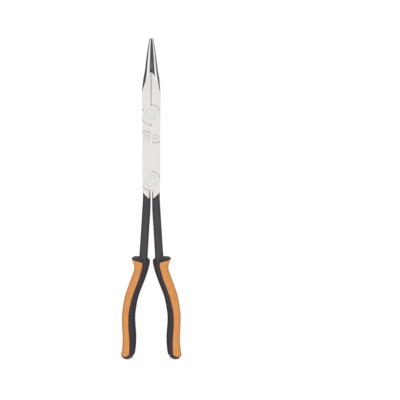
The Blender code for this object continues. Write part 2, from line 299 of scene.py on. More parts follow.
paper = bpy.data.materials.new("pale_floor")
paper.use_nodes = True
paper_tree = paper.node_tree
paper_shader = paper_tree.nodes["Principled BSDF"]
paper_shader.inputs["Roughness"].default_value = 0.9
paper_shader.inputs["Specular IOR Level"].default_value = 0.0
paper_shader.inputs["Emission Color"].default_value = (1, 1, 1, 1)
paper_shader.inputs["Emission Strength"].default_value = FLOOR_GLOW
paper_grain = node(paper_tree, "ShaderNodeTexNoise", Scale=40.0)
paper_tone = node(paper_tree, "ShaderNodeMapRange", To_Min=0.125, To_Max=0.135)
wire(paper_tree, paper_grain, "Fac", paper_tone, "Value")
wire(paper_tree, paper_tone, "Result", paper_shader, "Base Color")
floor_data.materials.append(paper)
print("floor", FLOOR_SIZE, "m across, glow", FLOOR_GLOW)

# %% [markdown]
# ## Finishes
# Each finish is one function that mixes noise into colour, roughness and a small bump. The noise is
# read from the object's own coordinates, in metres, so a scale of 1000 means marks a millimetre apart.
# Stretching the coordinates along the tool turns round grains into grinding lines.


# %% Finish helper
ALONG = (1.0, 0.02, 1.0)  # grain that runs with the tool
ROUND = (1.0, 1.0, 1.0)
WEAR = 0.04  # how much of the fine grain shows in the colour


def finish(name, base, roughness, grain, height, tone, metallic=0.0, stretch=ROUND, specular=0.5):
    """A Principled finish. base is two colours to mix, roughness its lowest and highest value,
    grain the fineness of the grain per metre, height the bump in metres, tone the fineness of
    the slow patches of colour and stretch the grain's shape."""
    made = bpy.data.materials.new(name)
    made.use_nodes = True
    tree = made.node_tree
    shader = tree.nodes["Principled BSDF"]
    shader.inputs["Metallic"].default_value = metallic
    shader.inputs["Specular IOR Level"].default_value = specular
    coords = node(tree, "ShaderNodeTexCoord")
    fine_space = node(tree, "ShaderNodeMapping", Scale=[grain * s for s in stretch])
    wire(tree, coords, "Object", fine_space, "Vector")
    fine = node(tree, "ShaderNodeTexNoise", Scale=1.0, Detail=3.0, Roughness=0.6)
    wire(tree, fine_space, "Vector", fine, "Vector")
    slow_space = node(tree, "ShaderNodeMapping", Scale=[tone * s for s in stretch])
    wire(tree, coords, "Object", slow_space, "Vector")
    slow = node(tree, "ShaderNodeTexNoise", Scale=1.0, Detail=2.0)
    wire(tree, slow_space, "Vector", slow, "Vector")
    patches = sums(tree, "MULTIPLY_ADD", (fine, "Fac"), WEAR)
    wire(tree, slow, "Fac", patches[0], 2)
    colour = node(tree, "ShaderNodeMix")
    colour.data_type = "RGBA"
    colour.inputs["A"].default_value = (*base[0], 1.0)
    colour.inputs["B"].default_value = (*base[1], 1.0)
    wire(tree, *patches, colour, "Factor")
    tree.links.new(colour.outputs["Result"], shader.inputs["Base Color"])
    dull = node(tree, "ShaderNodeMapRange", To_Min=roughness[0], To_Max=roughness[1])
    wire(tree, fine, "Fac", dull, "Value")
    wire(tree, dull, "Result", shader, "Roughness")
    bump = node(tree, "ShaderNodeBump", Strength=0.6, Distance=height)
    wire(tree, fine, "Fac", bump, "Height")
    wire(tree, bump, "Normal", shader, "Normal")
    return made


print("grain along the tool is stretched", 1 / ALONG[1], "times")

# %% [markdown]
# ### Steel
# The flats were ground lengthwise on a wide belt, and the cone of the nose was polished afterwards.
# They are one metal with two finishes, which differ in roughness, and the polished one is a little
# darker. The black coating on the shanks is a thin satin layer over the rough skin of the forging. The
# hidden bearing faces are never polished, and their near-black colour is painted shade along every seam.

# %% Steel finishes
GROUND = finish(
    "ground_steel",
    base=[(0.80, 0.772, 0.747), (0.84, 0.812, 0.787)],
    roughness=(0.22, 0.34),
    metallic=1.0,
    stretch=ALONG,
    grain=5000,
    height=4e-6,
    tone=260,
)
POLISHED = finish(
    "polished_steel",
    base=[(0.73, 0.70, 0.69), (0.78, 0.76, 0.745)],
    roughness=(0.08, 0.17),
    metallic=1.0,
    grain=3500,
    height=2e-6,
    tone=160,
)
COATING = finish(
    "black_coating",
    base=[(0.024, 0.021, 0.024), (0.034, 0.030, 0.034)],
    roughness=(0.36, 0.5),
    grain=2200,
    height=2e-5,
    tone=180,
)
# Painted shade: the bearing faces are unpolished steel, but their near-black colour stands in for the
# shade inside the seams.
CREVICE_SHADE = finish(
    "crevice_steel",
    base=[(0.07, 0.066, 0.066), (0.12, 0.11, 0.105)],
    roughness=(0.4, 0.6),
    metallic=0.6,
    grain=1800,
    height=1e-5,
    tone=300,
)
STEEL_SKINS = [GROUND, POLISHED, COATING, CREVICE_SHADE]
FLAT, BARE, BLACK, DARK = range(4)
print("steel finishes", [skin.name for skin in STEEL_SKINS])

# %% [markdown]
# ## Shape helpers
# Every steel piece is a plate or a lofted bar that is then cut. The plates get their tiny broken edges
# when they are built, by setting the outline back on the outer faces. A Bevel modifier after the
# cuts would also work, but it stumbles over the short edges that Boolean cuts leave behind.

# %% Curves and arcs
ARC_STEP = 3.0  # degrees between the points of an arc


def curve_at(points, t):
    """Value at t on a smooth curve through (t, value) points, which may run up or down."""
    if (t - points[0][0]) * (points[-1][0] - points[0][0]) <= 0:
        return points[0][1]
    if (t - points[-1][0]) * (points[0][0] - points[-1][0]) <= 0:
        return points[-1][1]
    last = len(points) - 1
    slopes = []
    for i in range(last + 1):
        before, after = points[max(i - 1, 0)], points[min(i + 1, last)]
        slopes.append((after[1] - before[1]) / (after[0] - before[0]))
    way = points[-1][0] - points[0][0]
    i = max(n for n in range(last) if (t - points[n][0]) * way >= 0)
    (t0, v0), (t1, v1) = points[i], points[i + 1]
    step = t1 - t0
    s = (t - t0) / step
    fall, rise = 2 * s**3 - 3 * s**2 + 1, 3 * s**2 - 2 * s**3
    bend = (s**3 - 2 * s**2 + s) * slopes[i] + (s**3 - s**2) * slopes[i + 1]
    return fall * v0 + rise * v1 + step * bend


def arc(centre, radius, start, end, step=ARC_STEP):
    """Points on a circle from angle start to angle end, in radians."""
    count = max(1, math.ceil(abs(math.degrees(end - start)) / step))
    angles = [start + (end - start) * i / count for i in range(count + 1)]
    return [(centre.x + radius * math.cos(a), centre.y + radius * math.sin(a)) for a in angles]


def set_back(outline, distances):
    """The outline moved inwards by a distance for each point, mitred at its corners."""
    points = [Vector(p) for p in outline]
    area = sum(a.x * b.y - b.x * a.y for a, b in zip(points, points[1:] + points[:1]))
    side = math.copysign(1.0, area)
    moved = []
    for i, here in enumerate(points):
        into = (here - points[i - 1]).normalized()
        out = (points[(i + 1) % len(points)] - here).normalized()
        mitre = Vector((-into.y - out.y, into.x + out.x)) * side
        moved.append(here + mitre * (2 * distances[i] / max(mitre.length_squared, 0.5)))
    return [(p.x, p.y) for p in moved]


# %% [markdown]
# ### Solids from rings
# A forging is thick and closed, so each mesh here is a closed solid too: rings of points joined by
# walls, with a flat face at both ends. Every wall gets the number of its finish when it is made, and
# Boolean cuts carry these numbers along, so nothing has to be painted afterwards.

# %% Meshes from rings
OUTER_WALL_X = 8.3 * MM
ARM_GAP_X, ARM_GAP_LOW, ARM_GAP_HIGH = 0.7 * MM, 0.0295, 0.0775
FOOT_TOP_Y = 0.0082


def object_from(name, bm, skins):
    """Closes up a bmesh with its faces pointing out and links it as an object."""
    bmesh.ops.recalc_face_normals(bm, faces=bm.faces)
    mesh = bpy.data.meshes.new(name)
    bm.to_mesh(mesh)
    bm.free()
    for skin in skins:
        mesh.materials.append(skin)
    made = bpy.data.objects.new(name, mesh)
    bpy.context.scene.collection.objects.link(made)
    return made


def loft(name, rings, side_skin=BARE, end_skin=BARE, skins=STEEL_SKINS):
    """A closed solid through rings of points, with flat ends. side_skin is a finish index, or a
    function that gives it from the x and y of a wall's upper edge."""
    bm = bmesh.new()
    rows = [[bm.verts.new(p) for p in ring] for ring in rings]
    for upper, lower in zip(rows, rows[1:]):
        for i in range(len(upper)):
            j = (i + 1) % len(upper)
            face = bm.faces.new((upper[i], upper[j], lower[j], lower[i]))
            middle = (upper[i].co + upper[j].co) / 2
            face.material_index = side_skin(middle.x, middle.y) if callable(side_skin) else side_skin
    bm.faces.new(rows[0]).material_index = end_skin
    bm.faces.new(rows[-1][::-1]).material_index = end_skin
    return object_from(name, bm, skins)


def wall_skin(x, y):
    """The outer walls and the arms' inner walls are polished; the bearing faces get the dark finish,
    painted shade.
    """
    arm_gap = abs(x) < ARM_GAP_X and ARM_GAP_LOW < y < ARM_GAP_HIGH
    return BARE if abs(x) > OUTER_WALL_X or arm_gap or y < FOOT_TOP_Y else DARK


def plate(name, outline, half_depth, edge_break):
    """A ground plate whose edges are broken by a 45 degree chamfer, as wide as edge_break(x, y)."""
    breaks = [edge_break(x, y) for x, y in outline]
    inner = set_back(outline, breaks)
    shoulder = [(x, y, half_depth - width) for (x, y), width in zip(outline, breaks)]
    rings = [[(x, y, half_depth) for x, y in inner], shoulder]
    rings += [[(x, y, -z) for x, y, z in shoulder], [(x, y, -half_depth) for x, y in inner]]
    return loft(name, rings, wall_skin, FLAT)


print("outer walls beyond", OUTER_WALL_X, "m are polished")

# %% [markdown]
# A cut is a Boolean with another solid, as a mill or a drill would take the metal away. Afterwards
# the broad surfaces are shaded smooth and only true corners stay sharp, so that a polished wall
# mirrors the studio without facets.


# %% Cutting and shading
def carve(piece, *tools, operation="DIFFERENCE"):
    """Applies a Boolean with each tool in turn, then removes the tools."""
    for tool in tools:
        cut = piece.modifiers.new(tool.name, "BOOLEAN")
        cut.object = tool
        cut.operation = operation
        cut.solver = "EXACT"
    bpy.context.view_layer.update()
    shaped = piece.evaluated_get(bpy.context.evaluated_depsgraph_get())
    piece.data = bpy.data.meshes.new_from_object(shaped)
    piece.modifiers.clear()
    for tool in tools:
        bpy.data.objects.remove(tool, do_unlink=True)
    return piece


def crisp(piece, limit=28.0):
    """Smooth shading, with sharp edges at corners and wherever the finish changes."""
    bm = bmesh.new()
    bm.from_mesh(piece.data)
    bmesh.ops.remove_doubles(bm, verts=bm.verts, dist=1e-7)
    for face in bm.faces:
        face.smooth = True
    for edge in bm.edges:
        if len(edge.link_faces) == 2:
            one, two = edge.link_faces
            corner = edge.calc_face_angle(0.0) > math.radians(limit)
            edge.smooth = not (corner or one.material_index != two.material_index)
    bm.to_mesh(piece.data)
    bm.free()
    return piece


# %% [markdown]
# ### Rivets
# A rivet is one half of its outline turned about the pivot. The same outline, a hair larger, cuts its
# hole, so a fine ring shows around each head as it does where a ground rivet meets the plate: a real
# gap, whose walls carry painted shade.

# %% Turned pieces
RIVET_CREVICE = 0.02 * MM  # room between a rivet and its hole
RIVET_BREAK = 0.03 * MM


def turned(name, half_profile, centre, skins, steps=96, skin=0):
    """A solid of revolution about a vertical axis through centre; the profile runs downwards."""
    rings = []
    for radius, z in half_profile:
        circle = arc(centre, radius, 0, 2 * math.pi, 360 / steps)[:-1]
        rings.append([(x, y, z) for x, y in circle])
    return loft(name, rings, skin, skin, skins)


def both_ends(profile):
    """A half profile followed by its mirror image below the mid-plane."""
    return profile + [(radius, -z) for radius, z in profile[::-1]]


def rivet_hole(name, profile, centre):
    """The cutter for a rivet's seat: the rivet a hair larger, flared where it meets the faces."""
    (radius, top), (_, shelf), (waist, step) = profile
    grow = RIVET_CREVICE
    past = 0.5 * MM
    upper = [
        (radius + grow + RIVET_BREAK + past, top + past),
        (radius + grow, top - RIVET_BREAK),
        (radius + grow, shelf - grow),
        (waist + grow, step - grow),
    ]
    return turned(name, both_ends(upper), centre, STEEL_SKINS, skin=DARK)


# Each seat is (radius, height) at the face, at the step below the head, and where the shaft begins.
LARGE_SEAT = [(6.0 * MM, HEAD_DEPTH), (6.0 * MM, 4.6 * MM), (4.2 * MM, 3.0 * MM)]
SMALL_SEAT = [(3.1 * MM, HEAD_DEPTH), (3.1 * MM, 4.6 * MM), (2.2 * MM, 3.6 * MM)]
print("rivet head radii", LARGE_SEAT[0][0], SMALL_SEAT[0][0])

# %% [markdown]
# ### Jaw lever
# Each jaw is one forging: nose half, halved disc round the front rivet, tang down to its link. The
# plate is cut to its outline, an upright oval cone rounds the nose, and disc-shaped cutters take away
# the back layer where the twin lever passes. The twin is the same mesh turned over.

# %% Head dimensions
DISC_RADIUS = 10.3 * MM
REAR_DISC_RADIUS = 10.0 * MM
LINK_RADIUS = 5.9 * MM
FRONT_HALF_WIDTH = 9.3 * MM
REAR_HALF_WIDTH = 9.05 * MM
EDGE_BREAK = 0.10 * MM
V_BREAK = 0.50 * MM
SEAM = 0.12 * MM  # room between a shoulder and the disc that turns in it
REAR_SEAM, LINK_SEAM = 0.20 * MM, 0.22 * MM
LAYER_SPLIT = 0.04 * MM
ARM_SPLIT = 0.48 * MM  # each arm stands back from the centre line by this
CORNER_RELIEF = 0.62 * MM  # small drilled relief where a shoulder meets the parting line

NOSE_SIDE = [  # height, half width of the head where it begins to taper
    (0.1314, 0.0082),
    (0.1250, 0.0086),
    (0.1208, 0.0090),
    (0.1144, 0.00955),
    (0.1080, 0.0096),
    (0.0985, 0.0094),
]
PARTING = [  # height, how far a gripping face stands back from the centre line
    (TIP_Y, 0.02 * MM),
    (0.1400, 0.02 * MM),
    (0.1300, 0.12 * MM),
    (0.1170, 0.25 * MM),
    (0.0985, 0.14 * MM),
]
NOSE_CONE = [  # height, half width of the oval cone
    (TIP_Y, 0.0017),
    (0.1697, 0.0020),
    (0.1690, 0.0022),
    (0.1589, 0.0039),
    (0.1462, 0.0057),
    (0.1356, 0.00695),
    (0.1314, 0.0077),
    (0.1120, 0.0121),
]
CONE_FLATTENING = HEAD_DEPTH / 0.0074  # the nose is an upright oval in section


def angle_at(x, radius):
    """Upper angle at which a circle of that radius is x away from its centre's vertical."""
    return math.acos(max(-1.0, min(1.0, x / radius)))


print("disc radii", DISC_RADIUS, REAR_DISC_RADIUS, "link radius", LINK_RADIUS)

# %% [markdown]
# The levers are thinned with cutters, much as a mill would do it: a wide disc takes half the
# thickness away round each pivot, and a small drill relieves the corner where a shoulder ends. The
# cutters carry the dark finish, which is painted shade, so the faces that they leave behind are dark
# without further work.


# %% Cutters for the head
def layer_cutter(name, centre, radius, seam):
    """Takes the back layer away inside a disc, with a flared rim that breaks the shoulder's edge."""
    past = 0.5 * MM
    levels = [(radius + seam, LAYER_SPLIT), (radius + seam, EDGE_BREAK - HEAD_DEPTH)]
    levels += [(radius + seam + EDGE_BREAK + past, -HEAD_DEPTH - past)]
    return turned(name, levels, centre, STEEL_SKINS, steps=120, skin=DARK)


def relief(name, x, y):
    """A small drilled hole through the back layer, at the end of a shoulder."""
    levels = [(CORNER_RELIEF, 0.5 * LAYER_SPLIT), (CORNER_RELIEF, -HEAD_DEPTH - 0.5 * MM)]
    return turned(name, levels, Vector((x, y)), STEEL_SKINS, steps=20, skin=DARK)


def side_dimple():
    """A small drilled mark at the edge, level with the end of the upper seam."""
    levels = [(0.55 * MM, HEAD_DEPTH + 0.3 * MM)]
    levels += [(0.5 * MM, HEAD_DEPTH - 1.2 * MM), (0.1 * MM, HEAD_DEPTH - 1.5 * MM)]
    return turned("side_dimple", levels, Vector((-0.0083, 0.0934)), STEEL_SKINS, steps=20, skin=DARK)


NOSE_RING = 112  # points round the nose


def nose_envelope():
    """The oval cone that rounds the nose, wide enough lower down to leave the lever alone."""
    heights = [TIP_Y, TIP_Y - 0.15 * MM, TIP_Y - 0.4 * MM, TIP_Y - 1.0 * MM]
    heights += [TIP_Y - 2.0 * MM - i * 2.0 * MM for i in range(19)]
    heights += [0.1300, 0.1270, 0.1240, 0.1200, 0.1160, 0.1120]
    sizes = [(y, curve_at(NOSE_CONE, y)) for y in heights]
    sizes += [(0.1080, 0.0160), (0.1060, 0.0300), (0.0400, 0.0300)]
    rings = []
    for y, radius in sizes:
        turns = [2 * math.pi * i / NOSE_RING for i in range(NOSE_RING)]
        rings.append([(radius * math.cos(a), y, radius * CONE_FLATTENING * math.sin(a)) for a in turns])
    return loft("nose_envelope", rings)


TEETH = 38
TOOTH_PITCH = 1.15 * MM
TOOTH_DEPTH = 0.28 * MM
TEETH_START = 0.1240


def teeth_cutter():
    """A comb of V grooves across the gripping face."""
    zigzag = []
    for i in range(TEETH):
        y = TEETH_START + i * TOOTH_PITCH
        face = -curve_at(PARTING, y)
        zigzag += [(face + 0.01 * MM, y), (face - TOOTH_DEPTH, y + TOOTH_PITCH / 2)]
    zigzag.append((0.0, TEETH_START + TEETH * TOOTH_PITCH))
    outline = zigzag + [(MM, zigzag[-1][1]), (MM, TEETH_START)]
    deep = 2 * HEAD_DEPTH
    return loft("teeth", [[(x, y, z) for x, y in outline] for z in (deep, -deep)], DARK, DARK)


# %% Jaw
def jaw_lever(name):
    """The left-hand jaw: nose half on the left, front disc, tang down to the right-hand link."""
    centre, link, radius = FRONT_PIVOT, RIGHT_LINK, DISC_RADIUS
    shoulder = angle_at(FRONT_HALF_WIDTH, radius)
    top = angle_at(-PARTING[-1][1], radius)
    bottom = angle_at(ARM_SPLIT, radius)
    link_outer = angle_at(FRONT_HALF_WIDTH - link.x, LINK_RADIUS)
    link_inner = angle_at(ARM_SPLIT - link.x, LINK_RADIUS)
    outline = arc(centre, radius, top, shoulder)
    outline += arc(link, LINK_RADIUS, -link_outer, -link_inner)
    outline += arc(centre, radius, -bottom, -math.pi + shoulder)
    outline += [(-x, y) for y, x in NOSE_SIDE[::-1]]
    outline += [(-0.0085, TIP_Y + MM)]
    outline += [(-x, y + (MM if y == TIP_Y else 0.0)) for y, x in PARTING[:-1]]
    lever = plate(name, outline, HEAD_DEPTH, lambda x, y: EDGE_BREAK)
    carve(lever, nose_envelope(), operation="INTERSECT")
    return carve(
        lever,
        teeth_cutter(),
        layer_cutter("front_layer", centre, radius, SEAM),
        layer_cutter("link_layer", link, LINK_RADIUS, LINK_SEAM),
        relief("top_relief", -0.35 * MM, centre.y + radius + 0.25 * MM),
        relief("low_relief", 0.75 * MM, centre.y - radius - 0.15 * MM),
        side_dimple(),
        rivet_hole("front_hole", LARGE_SEAT, centre),
        rivet_hole("link_hole", SMALL_SEAT, link),
    )


jaw_left = crisp(jaw_lever("jaw_left_forging"))
print("jaw faces", len(jaw_left.data.polygons))

# %% [markdown]
# ### Handle lever
# The handle's head is a plate like the jaw's. Below the rear disc it ends in a ground V, and a
# lofted bar with bevelled corners carries on as the black shank. Union joins the two, and since each
# mesh brings its own finish index, the coating starts exactly at the V.

# %% Shank dimensions
SHANK_DEPTH = 4.25 * MM
SHANK_BEVEL = 1.7 * MM
SHANK_TOP = 0.0065
SHANK_OUTER = [  # height, distance of the side from the centre line; so for the next three
    (0.0065, 0.0089),
    (0.0002, 0.00885),
    (-0.0125, 0.0096),
    (-0.0337, 0.0109),
    (-0.0620, 0.0127),
]
SHANK_INNER = [
    (0.0090, 0.0008),
    (0.0002, 0.0009),
    (-0.0125, 0.0011),
    (-0.0337, 0.00244),
    (-0.0620, 0.0040),
]
GRIP_OUTER = [
    (-0.0640, 0.0207),
    (-0.0655, 0.02005),
    (-0.0675, 0.0192),
    (-0.0692, 0.01855),
    (-0.0713, 0.0181),
    (-0.0744, 0.0182),
    (-0.0784, 0.0194),
    (-0.0866, 0.0225),
    (-0.1035, 0.02815),
    (-0.1205, 0.0309),
    (-0.1290, 0.0312),
    (-0.1460, 0.03045),
    (-0.1543, 0.03055),
    (-0.1649, 0.0319),
]
GRIP_INNER = [
    (-0.0640, 0.0016),
    (-0.0670, 0.0016),
    (-0.0710, 0.0023),
    (-0.0780, 0.0042),
    (-0.0866, 0.0072),
    (-0.1035, 0.0136),
    (-0.1205, 0.0168),
    (-0.1290, 0.0170),
    (-0.1460, 0.01595),
    (-0.1585, 0.0166),
    (-0.1640, 0.0176),
]
TANG_INSET, TANG_WIDTH, TANG_DEPTH, TANG_BEVEL = 3.0 * MM, 6.0 * MM, 3.2 * MM, 1.0 * MM
TANG_TOP_Y, TANG_END_Y = -0.0680, -0.150
print("shank width at the collar", curve_at(SHANK_OUTER, -0.0620) - curve_at(SHANK_INNER, -0.0620))

# %% [markdown]
# A shank is drawn as a row of eight-sided sections. A bevel tool could chamfer a plain bar instead,
# but the bar bends and widens, and a section that is written out keeps its bevels even all the way.
# Below the collar the same row of sections narrows to the tang that the grip hides.


# %% Shank sections
CORNER_PULL = 0.27  # how far a corner's middle point lies on the way back along both its sides


def bevelled_section(inner, outer, depth, bevel, rounding):
    """An eight-sided section with softened corners, as (x, z), from the inner side over the front."""
    front, back = depth - bevel, bevel - depth
    corners = [(inner, front), (inner + bevel, depth), (outer - bevel, depth), (outer, front)]
    corners += [(outer, back), (outer - bevel, -depth), (inner + bevel, -depth), (inner, back)]
    points = [Vector(c) for c in corners]
    section = []
    for i, here in enumerate(points):
        before = (points[i - 1] - here).normalized() * rounding
        after = (points[(i + 1) % len(points)] - here).normalized() * rounding
        section += [here + before, here + (before + after) * CORNER_PULL, here + after]
    return section


def shank_ring(y, grow=0.0):
    """Section of the shank, or of the hidden tang below the collar, at height y."""
    if y > TANG_TOP_Y:
        inner, outer = curve_at(SHANK_INNER, y), curve_at(SHANK_OUTER, y)
        depth, bevel, rounding = SHANK_DEPTH, SHANK_BEVEL, 0.45 * MM
    else:
        inner = curve_at(GRIP_INNER, y) + TANG_INSET
        outer = inner + TANG_WIDTH
        depth, bevel, rounding = TANG_DEPTH, TANG_BEVEL, 0.3 * MM
    section = bevelled_section(inner - grow, outer + grow, depth + grow, bevel, rounding)
    return [(p.x, y, p.y) for p in section]


def shank():
    """The bar from inside the head down to the end of the hidden tang."""
    heights = [SHANK_TOP - 2.0 * MM * i for i in range(36)] + [-0.0660]
    heights += [-0.0720, -0.0780, -0.0850, -0.0930, -0.1010, -0.1090, -0.1170, -0.1260, -0.1380]
    heights += [TANG_END_Y]
    return loft("shank", [shank_ring(y) for y in heights], BLACK, BLACK)


def v_skirt():
    """The coated slope at the foot of the ground V, from the face down to the shank."""
    run = 0.9 * MM
    points = [(1.3 * MM, 1.6 * MM), (2.0 * MM, 1.0 * MM), (2.9 * MM, 0.75 * MM), (3.7 * MM, 1.05 * MM)]
    points += [(8.7 * MM, 5.8 * MM), (8.7 * MM, 6.6 * MM), (1.3 * MM, 6.6 * MM)]
    top, foot = HEAD_DEPTH - 0.32 * MM, SHANK_DEPTH - 0.05 * MM
    low = [(x, y - (run if y < 6.2 * MM else 0.0)) for x, y in points]
    levels = [(points, top), (low, foot), (low, -foot), (points, -top)]
    return loft("v_skirt", [[(x, y, z) for x, y in ring] for ring, z in levels], BLACK, BLACK)


def inner_bevel(side):
    """Cutter for the sloping inner edge of the head between the rear disc and the V."""
    section = [(2.60 * MM, 6.0 * MM), (0.2 * MM, 3.6 * MM), (0.2 * MM, 6.0 * MM)]
    ends = (REAR_PIVOT.y - REAR_DISC_RADIUS - 0.25 * MM, -MM)
    return loft("inner_bevel", [[(x, y, side * z) for x, z in section] for y in ends])


# %% Handle
V_FOOT = [  # the ground foot of the head, from its inner side round the V and up its outer side
    (0.85 * MM, 7.6 * MM),
    (0.9 * MM, 2.4 * MM),
    (1.2 * MM, 1.5 * MM),
    (1.9 * MM, 0.85 * MM),
    (2.5 * MM, 0.6 * MM),
    (3.1 * MM, 0.6 * MM),
    (3.7 * MM, 0.95 * MM),
    (REAR_HALF_WIDTH, 6.2 * MM),
    (REAR_HALF_WIDTH, 7.0 * MM),
]
SIDE_BREAK = 0.06 * MM
ARM_FOOT_Y = 0.0330  # the arm's outer side runs straight down to here


def handle_break(x, y):
    """Chamfer widths of the handle's plate: broad round the V, very fine on its outer sides."""
    if x > 1.8 * MM and y < 6.6 * MM:
        return V_BREAK
    return SIDE_BREAK if abs(x) > 8.8 * MM else EDGE_BREAK


def handle_lever(name):
    """The right-hand handle: left-hand link end, arm, rear disc, then V, shank and hidden tang."""
    link, centre, radius = LEFT_LINK, REAR_PIVOT, REAR_DISC_RADIUS
    shoulder = angle_at(REAR_HALF_WIDTH, radius)
    top = angle_at(-ARM_SPLIT, radius)
    link_outer = angle_at(link.x + FRONT_HALF_WIDTH, LINK_RADIUS)
    link_inner = angle_at(-ARM_SPLIT - link.x, LINK_RADIUS)
    outline = arc(link, LINK_RADIUS, link_inner, math.pi - link_outer)
    outline += [(-FRONT_HALF_WIDTH, ARM_FOOT_Y)]
    outline += arc(centre, radius, shoulder - math.pi, -math.pi / 2 + 0.08)
    outline += V_FOOT
    outline += arc(centre, radius, shoulder, top)
    lever = plate(name, outline, HEAD_DEPTH, handle_break)
    carve(lever, inner_bevel(1), inner_bevel(-1))
    carve(lever, v_skirt(), shank(), operation="UNION")
    return carve(
        lever,
        layer_cutter("rear_layer", centre, radius, REAR_SEAM),
        layer_cutter("link_layer", link, LINK_RADIUS, LINK_SEAM),
        relief("top_relief", -0.60 * MM, centre.y + radius + 0.1 * MM),
        relief("low_relief", 0.75 * MM, centre.y - radius - 0.1 * MM),
        rivet_hole("rear_hole", LARGE_SEAT, centre),
        rivet_hole("link_hole", SMALL_SEAT, link),
    )


handle_right = crisp(handle_lever("handle_right_forging"))
print("handle faces", len(handle_right.data.polygons))

# %% [markdown]
# ### Rivet heads
# The big rivets are ground flush with the head. The link rivets keep a flat button with a sloping
# rim and the small centre mark that the lathe left. Their finish has grain in rings, read from the
# distance to the rivet's own axis, so each rivet is modelled about its own origin.

# %% Rivet finish
RINGS_PER_METRE, RING_HEIGHT = 6000.0, 5e-6


def ringed_finish(name, colour, roughness):
    """Steel whose grain runs in rings about the piece's own origin."""
    made = finish(name, colour, roughness, 2500, 1e-6, 300, metallic=1.0)
    tree = made.node_tree
    coords = node(tree, "ShaderNodeTexCoord")
    apart = node(tree, "ShaderNodeSeparateXYZ")
    wire(tree, coords, "Object", apart, "Vector")
    across = sums(tree, "MULTIPLY", (apart, "X"), (apart, "X"))
    upright = sums(tree, "MULTIPLY", (apart, "Y"), (apart, "Y"))
    radius = sums(tree, "SQRT", sums(tree, "ADD", across, upright), 0.0)
    rings = node(tree, "ShaderNodeTexNoise", Scale=RINGS_PER_METRE, Detail=2.0)
    rings.noise_dimensions = "1D"
    wire(tree, *radius, rings, "W")
    bump = [n for n in tree.nodes if n.bl_idname == "ShaderNodeBump"][0]
    bump.inputs["Distance"].default_value = RING_HEIGHT
    wire(tree, rings, "Fac", bump, "Height")
    return made


RIVET_STEEL = ringed_finish("rivet_steel", [(0.785, 0.765, 0.74), (0.825, 0.805, 0.775)], (0.24, 0.34))
RIM_STEEL = ringed_finish("rivet_rim", [(0.735, 0.715, 0.69), (0.775, 0.755, 0.73)], (0.28, 0.38))
print("rivet finishes", RIVET_STEEL.name, RIM_STEEL.name)


# %% Rivets
def rivet(name, seat, pivot, button=0.0, rim_drop=0.0, back_play=0.0):
    """A rivet about its own axis. button is the radius of the flat inside a sloping rim, and
    back_play makes the back half slimmer, where the linkage needs some room."""
    (radius, top), (_, shelf), (waist, step) = seat
    if button:
        upper = [(0.12 * MM, top - 0.10 * MM), (0.30 * MM, top), (button, top)]  # with a centre mark
        top -= rim_drop
        upper += [(radius - 0.25 * MM, top), (radius - RIVET_BREAK, top)]
    else:
        upper = [(0.5 * MM, top), (radius * 0.5, top), (radius - 0.5 * MM, top)]
        upper += [(radius - RIVET_BREAK, top - 0.01 * MM)]
    upper += [(radius, top - RIVET_BREAK), (radius, shelf), (waist, step), (waist, 0.03 * MM)]
    lower = [(radius - back_play if radius > 0.6 * MM else radius, -z) for radius, z in upper[::-1]]
    made = turned(name, upper + lower, Vector((0, 0)), [RIVET_STEEL, RIM_STEEL])
    rim = (button or seat[0][0] - 0.55 * MM) + 0.05 * MM
    for face in made.data.polygons:
        face.material_index = int(math.hypot(face.center.x, face.center.y) > rim)
    made.location = pivot
    return crisp(made, 20.0)


BUTTON_RADIUS, RIM_DROP = 1.95 * MM, 0.05 * MM
LINKAGE_PLAY = 0.16 * MM

front_rivet = rivet("front_rivet_head", LARGE_SEAT, FRONT_PIVOT, back_play=LINKAGE_PLAY)
rear_rivet = rivet("rear_rivet_head", LARGE_SEAT, REAR_PIVOT)
link_right = rivet("link_rivet_head_right", SMALL_SEAT, RIGHT_LINK, BUTTON_RADIUS, RIM_DROP)
link_left = rivet("link_rivet_head_left", SMALL_SEAT, LEFT_LINK, BUTTON_RADIUS, RIM_DROP)
print("rivet faces", len(front_rivet.data.polygons), len(link_right.data.polygons))

# %% [markdown]
# ## Grips
# A grip is a moulded tube round the tang: waisted under a winged finger stop, swelling in the palm,
# closed by a rounded end. Its section is a soft oval (a superellipse), and two cap surfaces, one at
# the collar and one at the end, say where the tube stops. Building it as one grid of points lets the
# same grid sink into a recess exactly where the orange panel lies.

# %% Grip dimensions
BODY_DEPTH = GRIP_DEPTH - 0.2 * MM
OVAL = 3.2  # exponent of the section: 2 is an ellipse, larger is squarer
TOP_MEAN, BOTTOM_MEAN = -0.0655, -0.1665  # mean heights of the collar's edge and the end's edge
TOP_RIDGE = [  # the collar's crest at mid-depth, by distance from the centre line
    (0.0015, -0.0647),
    (0.0027, -0.0635),
    (0.0042, -0.0623),
    (0.0080, -0.0612),
    (0.0130, -0.0609),
    (0.0176, -0.0609),
    (0.0193, -0.0618),
    (0.0203, -0.0632),
    (0.0207, -0.0643),
]
TOP_FRONT = [  # the collar's edge on the front and back faces
    (0.0015, -0.0649),
    (0.0042, -0.0657),
    (0.0077, -0.06725),
    (0.0095, -0.0670),
    (0.0114, -0.0664),
    (0.0157, -0.0652),
    (0.0183, -0.0646),
    (0.0207, -0.0643),
]
END_RIDGE = [  # the end's crest at mid-depth, before its edge is rounded over
    (0.0166, -0.1608),
    (0.0172, -0.1625),
    (0.0176, -0.1635),
    (0.0183, -0.1650),
    (0.0193, -0.1662),
    (0.0207, -0.1673),
    (0.0223, -0.1683),
    (0.0250, END_Y + 0.9 * MM),
    (0.0277, -0.1686),
    (0.0298, -0.1676),
    (0.0313, -0.1659),
    (0.0319, -0.1641),
]
END_FRONT = [  # the end's edge on the front and back faces
    (0.0166, -0.1606),
    (0.0195, -0.1634),
    (0.0220, -0.1649),
    (0.0250, -0.1661),
    (0.0284, -0.1671),
    (0.0302, -0.1661),
    (0.0319, -0.1640),
]
print("grip length", TOP_MEAN - BOTTOM_MEAN, "half thickness", BODY_DEPTH)

